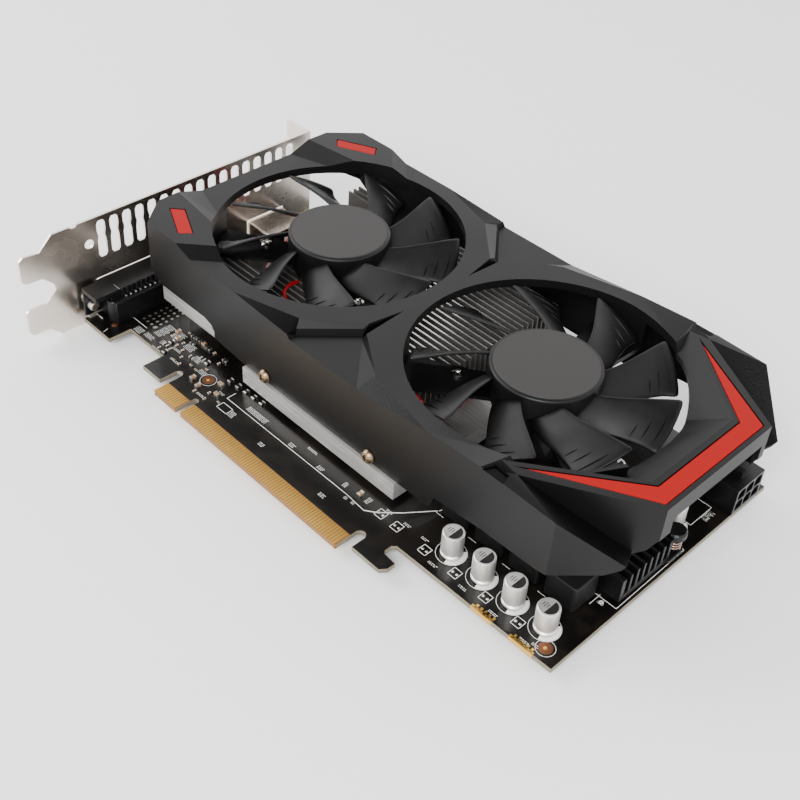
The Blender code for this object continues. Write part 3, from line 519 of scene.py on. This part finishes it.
def makeTicks():
    # the small printed marks beside the parts, as plain dashes and never as letters
    # each group has its middle, then its width and height
    draw = random.Random(7)
    rowStep = 0.52
    dashes = []
    groups = [(28.6, 10.2, 2.4, 1.6), (34.7, 16.9, 2.4, 1.6), (47.5, 16.9, 2.4, 1.6),
              (56.0, 10.0, 2.4, 1.6), (40.5, 20.2, 4.0, 1.4), (17.6, 17.6, 9.0, 2.2),
              (12.2, 11.8, 2.0, 2.6), (73.5, 20.4, 2.6, 1.4), (80.4, 20.6, 2.6, 1.4),
              (87.2, 20.6, 2.4, 1.4), (98.4, 20.4, 2.4, 1.4), (109.6, 20.6, 2.4, 1.4),
              (120.6, 20.8, 2.4, 1.4), (131.4, 16.2, 2.4, 1.2), (95.0, 15.6, 3.0, 1.2),
              (106.2, 15.8, 3.0, 1.2), (117.2, 15.6, 3.0, 1.2), (128.4, 15.0, 3.0, 1.2),
              (134.4, 88.4, 2.0, 5.0), (66.4, 18.6, 1.6, 2.6), (57.4, 18.0, 1.6, 2.2),
              (-13.6, 11.4, 2.6, 1.2), (-1.2, 10.0, 3.4, 1.2), (2.4, 15.4, 2.4, 1.2),
              (-20.0, 13.8, 4.0, 1.2), (-24.0, 17.6, 4.0, 1.2), (-29.0, 13.2, 4.0, 1.0),
              (-40.6, 14.4, 3.4, 2.6), (-34.6, 20.6, 3.4, 7.0), (-35.6, 15.0, 4.0, 2.2),
              (-29.4, 22.4, 4.2, 4.4), (-29.4, 16.6, 3.0, 2.2), (-22.2, 21.8, 4.0, 3.6),
              (-15.6, 19.8, 3.4, 3.0), (-9.6, 17.0, 3.0, 2.2)]
    for x, y, wide, high in groups:
        for row in range(max(1, int(high / rowStep))):
            run = -wide / 2.0
            while run < wide / 2.0 - 0.3:
                length = draw.uniform(0.12, 0.6)
                level = y - high / 2.0 + row * rowStep
                dashes.append(inkBar(x + run, level, x + min(run + length, wide / 2.0), level, 0.15))
                run += length + draw.uniform(0.3, 0.5)
    mark = joined(dashes)
    applyPlace(mark)
    paint(mark, whiteInk)
    place(mark, "boardTicks")


def chipPart(length, width, height, bodyFinish):
    a, b = length / 2.0, width / 2.0
    end = length * 0.24
    parts = [block(Vector((-a + end, -b, 0.02)) * mm, Vector((a - end, b, height)) * mm, bodyFinish, 0.05)]
    for left, right in ((-a, -a + end), (a - end, a)):
        lowCorner = Vector((left, -b - 0.02, 0.01)) * mm
        highCorner = Vector((right, b + 0.02, height + 0.02)) * mm
        parts.append(block(lowCorner, highCorner, brightTin, 0.06))
    return joined(parts)


def spread(model, spots, name):
    copies = []
    for x, y, turn in spots:
        matrix = Matrix.Translation(at(x, y)) @ Matrix.Rotation(math.radians(turn), 4, "Z")
        copies.append(duplicated(model, matrix))
    bpy.data.objects.remove(model, do_unlink=True)
    return place(joined(copies), name)


def makeChips():
    draw = random.Random(23)
    black, tan, small = [], [], []
    for i in range(5):
        black.append((-0.4 + 3.7 * i, 21.0 + 0.17 * i, 90.0))
    tan += [(63.0, 18.2, 90.0), (-9.2, 12.8, 90.0), (-0.9, 17.4, 0.0), (2.1, 13.6, 0.0), (-5.1, 11.7, 90.0)]
    small += [(-4.0, 9.4, 90.0), (-0.2, 12.3, 90.0), (1.0, 9.5, 90.0), (5.2, 11.8, 0.0)]
    for column in range(9):
        for row in range(6):
            x, y = -31.0 + 2.7 * column, 13.6 + 2.4 * row
            if draw.random() < 0.72:
                spot = (x + draw.uniform(-0.3, 0.3), y + draw.uniform(-0.2, 0.2), 90.0 * draw.randint(0, 1))
                (small if draw.random() < 0.62 else tan if draw.random() < 0.25 else black).append(spot)
    for x, y in ((96.0, 60.0), (100.0, 62.5), (98.0, 68.0), (103.0, 66.0), (106.0, 60.5), (92.0, 64.0)):
        black.append((x, y, 0.0))
        small.append((x + 3.0, y + 1.2, 90.0))
    spread(chipPart(2.0, 1.25, 0.7, blackEpoxy), black, "chipResistors")
    spread(chipPart(2.0, 1.25, 1.0, tanCeramic), tan, "chipCapacitors")
    spread(chipPart(1.1, 0.6, 0.45, tanCeramic), small, "smallChips")


def makePads():
    pads = []
    jumperDome = [(0.0, 0.16), (0.24, 0.13), (0.42, 0.01), (0.0, 0.01)]
    for x, y in jumperSpots:
        for side in (-0.75, 0.75):
            pads.append(turned(jumperDome, x + side, y, brightTin, 14))
    for column in range(4):
        for row in range(6):
            size = 0.85 if (column, row) == (3, 0) else 0.55
            dome = [(0.0, 0.14), (0.6 * size, 0.1), (size, 0.01), (0.0, 0.01)]
            pads.append(turned(dome, -44.7 + 2.05 * column, 19.0 + 2.3 * row, brightTin, 12))
    for x, y in ((61.1, 14.2), (63.9, 14.4), (134.3, 86.7), (134.3, 89.8)):
        pads.append(block(at(x - 0.6, y - 0.5, 0.0), at(x + 0.6, y + 0.5, 0.14), brightTin, 0.05))
    place(joined(pads), "solderPads")
    spots = []
    for x, y in ((133.5, 17.2), (-5.4, 15.9)):
        spots.append(turned([(0.0, 0.02), (2.0, 0.02), (2.0, 0.005), (0.0, 0.005)], x, y, bareCopper, 36))
        spots.append(turned([(0.0, 0.12), (0.4, 0.08), (0.6, 0.02), (0.0, 0.02)], x, y, hardGold, 20))
    spots.append(turned([(0.0, 0.3), (0.6, 0.25), (1.1, 0.01), (0.0, 0.01)], -48.0, 9.5, bareCopper, 24))
    place(joined(spots), "boardTargets")
    edge = []
    for left, right in ((111.4, 118.8), (124.5, 132.6)):
        low = boardEdgeLow(left)
        edge.append(block(at(left, low - 0.03, -1.59), at(right, low + 0.9, 0.02), hardGold, 0.02))
        for i in range(5):
            x = left + 0.9 + 1.45 * i
            edge.append(block(at(x, low + 0.5, 0.0), at(x + 0.75, low + 1.8, 0.02), hardGold))
    place(joined(edge), "edgePatches")


def boardEdgeLow(x):  # the lower edge's height at the tail, which leans a little
    return 12.5 + (x - 84.0) / (138.7 - 84.0) * 0.7


print("board")
makeBoard()
makeContacts()
makePrint()
makeTicks()
makePads()
makeChips()


def refined(node, finish, width, segments, angle):  # a CAD node's copy with eased edges
    piece = nodeCopy(node)
    softEdges(piece, width, segments, angle)
    paint(piece, finish)
    return evenShading(piece)


def makeBracket():
    place(refined("io_bracket", nickelSteel, 0.18, 2, 40.0), "bracketSheet", stands=["io_bracket"])


def cutAway(piece, tool):  # takes the tool's volume out of the piece
    knife = piece.modifiers.new("knife", "BOOLEAN")
    knife.operation = "DIFFERENCE"
    knife.solver = "EXACT"
    knife.object = tool
    applyModifiers(piece)
    bpy.data.objects.remove(tool, do_unlink=True)
    return piece


portLook = {"pinPitch": 1.905, "pinFirst": 15.6, "pinCount": 14, "pinX": -49.2}


def makePorts():
    body = nodeCopy("dvi_body")
    cutAway(body, block(at(-57.6, 4.0, -1.0), at(-46.0, 10.4, 9.6), connectorNylon))
    softEdges(body, 0.25, 2, 40.0)
    parts = [paint(evenShading(body), connectorNylon)]
    barrel = [(0.0, 0.3), (2.3, 0.3), (2.3, 8.2), (2.1, 8.5), (0.0, 8.5)]
    parts.append(turned(barrel, -50.4, 11.6, connectorNylon, 40))
    for i in range(portLook["pinCount"]):
        y = portLook["pinFirst"] + portLook["pinPitch"] * (i - 0.5)
        parts.append(block(at(-50.3, y - 0.2, 8.5), at(-47.4, y + 0.2, 9.0), connectorNylon, 0.08))
        parts.append(block(at(-50.1, y - 0.2, 8.6), at(-49.5, y + 0.2, 11.3), connectorNylon, 0.08))
    place(joined(parts), "dviBlock", stands=["dvi_body"])
    pins = []
    for i in range(portLook["pinCount"]):
        y = portLook["pinFirst"] + portLook["pinPitch"] * i
        lowCorner = at(portLook["pinX"] - 0.7, y - 0.32, 8.55)
        highCorner = at(portLook["pinX"] + 0.6, y + 0.32, 8.95)
        pins.append(block(lowCorner, highCorner, brightTin, 0.12))
    pins.append(block(at(-53.6, 13.9, 11.36), at(-50.2, 14.15, 11.4), brightTin))
    place(joined(pins), "dviPins")
    clip = [block(at(-58.4, 5.2, 0.4), at(-57.9, 5.7, 5.6), brightTin, 0.1),
            block(at(-58.4, 5.2, 0.05), at(-56.0, 5.7, 0.7), brightTin, 0.1),
            block(at(-56.5, 5.2, 0.05), at(-56.0, 8.4, 0.7), brightTin, 0.1),
            block(at(-56.5, 8.0, 0.05), at(-53.0, 8.4, 0.6), brightTin, 0.1)]
    bpy.ops.mesh.primitive_cylinder_add(vertices=20, radius=1.7 * mm, depth=2.6 * mm,
                                        location=at(-56.4, 7.2, 4.4),
                                        rotation=(0.0, math.radians(90.0), 0.0))
    clip.append(paint(softEdges(applyPlace(bpy.context.object), 0.4, 2, 30.0), brightTin))
    place(joined(clip), "dviClip")


print("bracket and ports")
makeBracket()
makePorts()


# corners of the facets with their own mould finish: along the card, and out from the fan line
facetLooks = {
    "fine": [[(22.1, 40.2), (24.6, 43.4), (37.2, 28.6), (37.1, 26.3)]],
    "grained": [[(-29.4, 46.9), (-22.0, 46.9), (-12.6, 38.0), (-18.2, 36.4)],
                [(54.3, 46.9), (82.0, 46.9), (55.4, 40.8)],
                [(108.8, 42.4), (140.4, 34.7), (136.8, 27.2)],
                [(108.8, 42.4), (125.5, 46.9), (140.4, 34.7)]],
    "polished": [[(24.6, 43.4), (25.2, 44.2), (38.0, 29.4), (37.2, 28.6)],
                 [(-0.5, 46.9), (24.4, 46.9), (24.6, 43.4), (22.1, 40.2)],
                 [(37.1, 26.3), (38.0, 29.4), (39.3, 13.9)],
                 [(38.0, 29.4), (38.9, 30.6), (39.3, 13.9)],
                 [(24.4, 46.9), (25.4, 46.9), (25.2, 44.2), (24.6, 43.4)],
                 [(100.8, 47.9), (108.6, 47.9), (107.6, 43.9), (102.8, 43.5)]],
}


def insideOutline(x, y, corners):
    hits = 0
    for a, b in zip(corners, corners[1:] + corners[:1]):
        if (a[1] > y) != (b[1] > y) and x < (b[0] - a[0]) * (y - a[1]) / (b[1] - a[1]) + a[0]:
            hits += 1
    return hits % 2 == 1


def makeShroud():
    shell = nodeCopy("shroud")
    shell.data.materials.clear()
    for finish in (mouldedAbs, fineAbs, grainedAbs, polishedAbs):
        shell.data.materials.append(finish)
    for face in shell.data.polygons:
        middle = (face.center - datum) / mm
        out = abs(middle.y - fanLine)
        if face.normal.z > 0.15 and middle.z > 20.0:
            for index, shapes in enumerate(facetLooks.values()):
                if any(insideOutline(middle.x, out, corners) for corners in shapes):
                    face.material_index = index + 1
    softEdges(shell, 0.3, 2, 14.0)
    evenShading(shell, 24.0)
    place(shell, "shroudShell", stands=["shroud"])


def makeTrim():
    for node in ("chevron_trim", "accent_bar_lower", "accent_bar_upper"):
        place(refined(node, redAbs, 0.08, 1, 30.0), node.replace("_", ""), stands=[node])


print("shroud")
makeShroud()
makeTrim()


def makeCoolers():
    fins = refined("vrm_heatsink", blackAnodised, 0.12, 1, 40.0)
    place(fins, "vrmFins", stands=["vrm_heatsink"])
    sink = nodeCopy("heatsink")
    sink.data.materials.clear()
    sink.data.materials.append(shadedFinAluminium)
    sink.data.materials.append(brushedAluminium)
    sink.data.materials.append(finTopHighlight)
    for face in sink.data.polygons:
        middle = (face.center - datum) / mm
        bar = middle.z < 8.5 or middle.y < 29.4 and middle.z < 13.1
        # painted light: faces above 19.7 mm, the fin tops, take the painted highlight, the fin flanks take
        # the painted shade, and the base bar stays brushed aluminium
        face.material_index = 1 if bar else 2 if middle.z > 19.7 else 0
    place(sink, "coolerBlock", stands=["heatsink"])


print("cooler")
makeCoolers()


bladeLook = {"count": 9, "root": 16.0, "tip": 39.2, "lowZ": 25.9, "thick": 0.9}
fanPlaces = {"fan1": (-4.9, 6.0), "fan2": (83.1, 27.0)}  # along the card, and the first blade's turn
# radius, leading and trailing angles, and the leading edge's height
bladeStations = [(16.0, -21.0, -55.0, 32.6), (22.0, -13.5, -39.5, 33.0), (28.0, -7.2, -29.7, 33.6),
                 (34.0, -2.6, -25.1, 33.8), (39.2, 0.0, -25.0, 34.0)]


def bladePoint(radius, chord, centerX, turn):
    for near, far in zip(bladeStations, bladeStations[1:]):
        if radius <= far[0] or far is bladeStations[-1]:
            share = (radius - near[0]) / (far[0] - near[0])
            lead, trail, high = [near[k] + (far[k] - near[k]) * share for k in (1, 2, 3)]
            break
    angle = math.radians(turn + lead + (trail - lead) * chord)
    height = high - (high - bladeLook["lowZ"]) * (chord - 0.05 * math.sin(math.pi * chord))
    return at(centerX + radius * math.cos(angle), fanLine + radius * math.sin(angle), height - 0.45)


def makeBlade(centerX, turn):
    columns, rows = 9, 8
    bpy.ops.mesh.primitive_grid_add(x_subdivisions=columns, y_subdivisions=rows, size=1.0)
    blade = bpy.context.object
    root, tip = bladeLook["root"], bladeLook["tip"]
    for vertex in blade.data.vertices:
        radius = root + (tip - root) * (vertex.co.x + 0.5)
        chord = 0.5 - vertex.co.y
        vertex.co = bladePoint(radius, chord, centerX, turn)
    wall = blade.modifiers.new("wall", "SOLIDIFY")
    wall.thickness = bladeLook["thick"] * mm
    wall.offset = 0.0
    smooth = blade.modifiers.new("smooth", "SUBSURF")
    smooth.levels = smooth.render_levels = 1
    applyModifiers(blade)
    bpy.ops.object.shade_smooth()
    return paint(blade, fanPbt)


def makeBladeRibs(centerX, turn):
    # short moulded ribs on the outer part of each blade
    ribs = []
    for radius, start, stop in ((36.4, 0.34, 0.94), (33.2, 0.5, 0.94), (30.4, 0.64, 0.94)):
        steps = 6
        bpy.ops.mesh.primitive_grid_add(x_subdivisions=2, y_subdivisions=steps, size=1.0)
        rib = bpy.context.object
        for vertex in rib.data.vertices:
            side, chord = vertex.co.x, start + (stop - start) * (vertex.co.y + 0.5)
            swell = math.sin(math.pi * (0.08 + 0.84 * (vertex.co.y + 0.5)))
            spot = bladePoint(radius + 0.6 * side * swell, chord, centerX, turn)
            lift = 0.45 + (0.5 * swell if abs(side) < 0.1 else -0.1)
            vertex.co = spot + Vector((0.0, 0.0, lift * mm))
        ribs.append(paint(rib, fanPbt))
    return ribs


def makeRotor(tag):
    centerX, turn = fanPlaces[tag]
    profile = [(0.0, 34.0), (15.7, 34.0), (16.2, 33.85), (16.55, 33.5), (16.7, 33.0), (16.7, 24.8),
               (15.3, 24.8), (15.3, 32.4), (0.0, 32.4)]
    hub = turned(profile, centerX, fanLine, fanPbt, 96)
    evenShading(hub)
    blade = makeBlade(centerX, turn)
    ribs = makeBladeRibs(centerX, turn)
    parts = [hub]
    model = joined([blade] + ribs)
    axis = at(centerX, fanLine)
    for index in range(bladeLook["count"]):
        matrix = (Matrix.Translation(axis) @ Matrix.Rotation(math.radians(40.0 * index), 4, "Z")
                  @ Matrix.Translation(-axis))
        parts.append(duplicated(model, matrix))
    bpy.data.objects.remove(model, do_unlink=True)
    wheel = joined(parts)
    place(wheel, tag + "Wheel", tag, [tag + "_rotor"])
    disc = [(0.0, 34.1), (15.35, 34.1), (15.45, 34.0), (15.45, 33.95), (0.0, 33.95)]
    film = turned(disc, centerX, fanLine, hubFilm, 96)
    evenShading(film)
    place(film, tag + "HubFilm", tag)


print("fans")
for tag in fanPlaces:
    makeRotor(tag)


def makeCans():
    ink = []
    for index, (x, y) in enumerate(canSpots):
        profile = [(0.0, 0.3), (3.12, 0.3), (3.2, 0.6), (3.2, 1.0), (2.85, 1.35), (2.85, 1.6), (3.2, 2.0),
                   (3.2, 8.15), (3.1, 8.42), (2.85, 8.56), (2.6, 8.5), (0.0, 8.5)]
        can = turned(profile, x, y, drawnCan, 56)
        evenShading(can, 40.0)
        place(can, "can%d" % (index + 1), stands=["capacitor_%d" % (index + 1)])
        ink.append(plate(arcPoints(x, y, 2.5, range(-84, 85, 8)), 8.5, 8.53, canInk))
        for shift, wide in ((-1.7, 1.3), (-1.0, 2.0), (-0.3, 1.5)):
            lowCorner = at(x + shift - 0.11, y - wide / 2.0, 8.5)
            highCorner = at(x + shift + 0.11, y + wide / 2.0, 8.53)
            ink.append(block(lowCorner, highCorner, canInk))
    place(joined(ink), "canMarks")


def makeCoils():
    for index in range(4):
        node = "choke_%d" % (index + 1)
        place(refined(node, ironPowder, 0.5, 2, 30.0), "coil%d" % (index + 1), stands=[node])


def makePowerInlet():
    shell = refined("power_connector", connectorNylon, 0.18, 2, 40.0)
    place(shell, "powerInlet", stands=["power_connector"])


fanScrews = {"circle": 25.0, "angles": (212.0, 332.0, 92.0)}


def makeScrews():  # the cross recess is cut into each head
    level = 10.6
    for name, x in (("shroud_screw_1", 14.2), ("shroud_screw_2", 60.6)):
        head = nodeCopy(name)
        for half, tall in ((1.3, 0.36), (0.36, 1.3)):
            lowCorner = at(x - half, 21.0, level - tall)
            highCorner = at(x + half, 22.3, level + tall)
            cutAway(head, block(lowCorner, highCorner, bronzePlate))
        softEdges(head, 0.12, 2, 40.0)
        paint(evenShading(head, 40.0), bronzePlate)
        place(head, name.replace("_", ""), stands=[name])
    for tag in fanPlaces:
        spots = arcPoints(fanPlaces[tag][0], fanLine, fanScrews["circle"], fanScrews["angles"])
        for number, (x, y) in enumerate(spots):
            name = tag + "_screw_%d" % (number + 1)
            head = nodeCopy(name)
            for half, deep in ((1.05, 0.22), (0.22, 1.05)):
                cutAway(head, block(at(x - half, y - deep, 23.8), at(x + half, y + deep, 24.8), brightSteel))
            paint(evenShading(head, 40.0), brightSteel)
            place(head, name.replace("_", ""), stands=[name])


def makeSpring():
    look = {"x": 135.4, "y": 68.4, "radius": 2.15, "low": 2.8, "high": 6.6, "turns": 4.0, "wire": 0.3}
    points = []
    count = int(look["turns"] * 12)
    for i in range(count + 1):
        angle = 2.0 * math.pi * look["turns"] * i / count
        x = look["x"] + look["radius"] * math.cos(angle)
        y = look["y"] + look["radius"] * math.sin(angle)
        points.append((x, y, look["low"] + (look["high"] - look["low"]) * i / count))
    spring = wire(points, look["wire"], springSteel)
    place(spring, "pinSpring", stands=["push_pin_spring"])


print("components")
makeCans()
makeCoils()
makePowerInlet()
makeSpring()
makeScrews()


# CAD nodes that are shown as they are, each with its finish
keptFinishes = {
    "dvi_shell": nickelSteel, "dvi_jack_nut_1": nickelSteel, "dvi_jack_nut_2": nickelSteel,
    "hdmi_shell": nickelSteel, "hdmi_insert": connectorNylon, "displayport_shell": nickelSteel,
    "displayport_insert": connectorNylon,
    "push_pin": connectorNylon, "gpu_package": packageLaminate, "fan_header": paleNylon,
    "fan_lead_red": redVinyl, "fan_lead_black": blackVinyl, "fan2_lead_red": redVinyl,
}
for tag in ("fan1_", "fan2_"):
    keptFinishes.update({tag + "base": fanPbt, tag + "shaft": brightSteel, tag + "bearing": sinteredBronze,
                         tag + "magnet_ring": bondedMagnet, tag + "stator": coreSteel})
for name, finish in keptFinishes.items():
    target = nodes[name]
    if not target.material_slots:
        target.data.materials.append(finish)
    for slot in target.material_slots:
        slot.material = finish


stageLook = {"room": 2.3, "overhead": 0.25, "brightTo": 0.72, "darkFrom": 0.9}


def makeStage():
    bpy.ops.mesh.primitive_plane_add(size=12.0, location=(0.0, 0.0, cadLow.z - 0.0004))
    floor = bpy.context.object
    floor.name = "floor"
    floor.data.materials.append(newFinish("paleFloor", "F4F4F4", 0.8))
    world = bpy.data.worlds.new("studio")
    bpy.context.scene.world = world
    world.use_nodes = True
    tree = world.node_tree
    # a pale room all round, dark overhead, so that flat tops stay deep and slopes catch the light
    way = addNode(tree, "ShaderNodeTexCoord")
    split = addNode(tree, "ShaderNodeSeparateXYZ", None, {"Vector": way.outputs["Generated"]})
    levels = {"interpolation_type": "SMOOTHSTEP", "From Min": stageLook["brightTo"],
              "From Max": stageLook["darkFrom"], "To Min": stageLook["room"], "To Max": stageLook["overhead"]}
    fall = addNode(tree, "ShaderNodeMapRange", levels, {"Value": split.outputs["Z"]})
    tree.links.new(fall.outputs["Result"], tree.nodes["Background"].inputs["Strength"])
    tree.nodes["Background"].inputs["Color"].default_value = (1.0, 1.0, 1.0, 1.0)


def makeLight(name, spot, aim, size, watts):
    light = bpy.data.lights.new(name, "AREA")
    light.shape = "SQUARE"
    light.size = size
    light.energy = watts
    lamp = bpy.data.objects.new(name, light)
    bpy.context.scene.collection.objects.link(lamp)
    lamp.location = spot
    lamp.rotation_euler = (Vector(aim) - Vector(spot)).to_track_quat("-Z", "Y").to_euler()


cameraLook = {"x": 234.73, "y": -152.89, "z": 248.74, "azimuth": 44.04, "elevation": 38.78, "roll": 3.68,
              "lens": 54.15, "shiftX": 0.0181, "shiftY": -0.0634}


def makeCamera():
    azimuth, elevation, roll = [math.radians(cameraLook[key]) for key in ("azimuth", "elevation", "roll")]
    back = Vector((math.sin(azimuth) * math.cos(elevation), -math.cos(azimuth) * math.cos(elevation),
                   math.sin(elevation)))
    level = Vector((math.cos(azimuth), math.sin(azimuth), 0.0))
    upright = back.cross(level)
    right = level * math.cos(roll) + upright * math.sin(roll)
    top = back.cross(right)
    turn = Matrix((right, top, back)).transposed().to_4x4()
    bpy.ops.object.camera_add()
    camera = bpy.context.object
    camera.matrix_world = Matrix.Translation(at(cameraLook["x"], cameraLook["y"], cameraLook["z"])) @ turn
    camera.data.lens = cameraLook["lens"]
    camera.data.sensor_width = 36.0
    camera.data.shift_x = cameraLook["shiftX"]
    camera.data.shift_y = cameraLook["shiftY"]
    camera.data.clip_start = 0.01
    camera.data.clip_end = 20.0
    bpy.context.scene.camera = camera


print("stage")
makeStage()
makeLight("keyLight", (0.5, -0.9, 0.9), (0.0, 0.0, 0.0), 0.7, 22.0)
makeLight("sideLight", (-0.9, -0.4, 0.7), (0.0, 0.0, 0.0), 0.6, 9.0)
makeCamera()
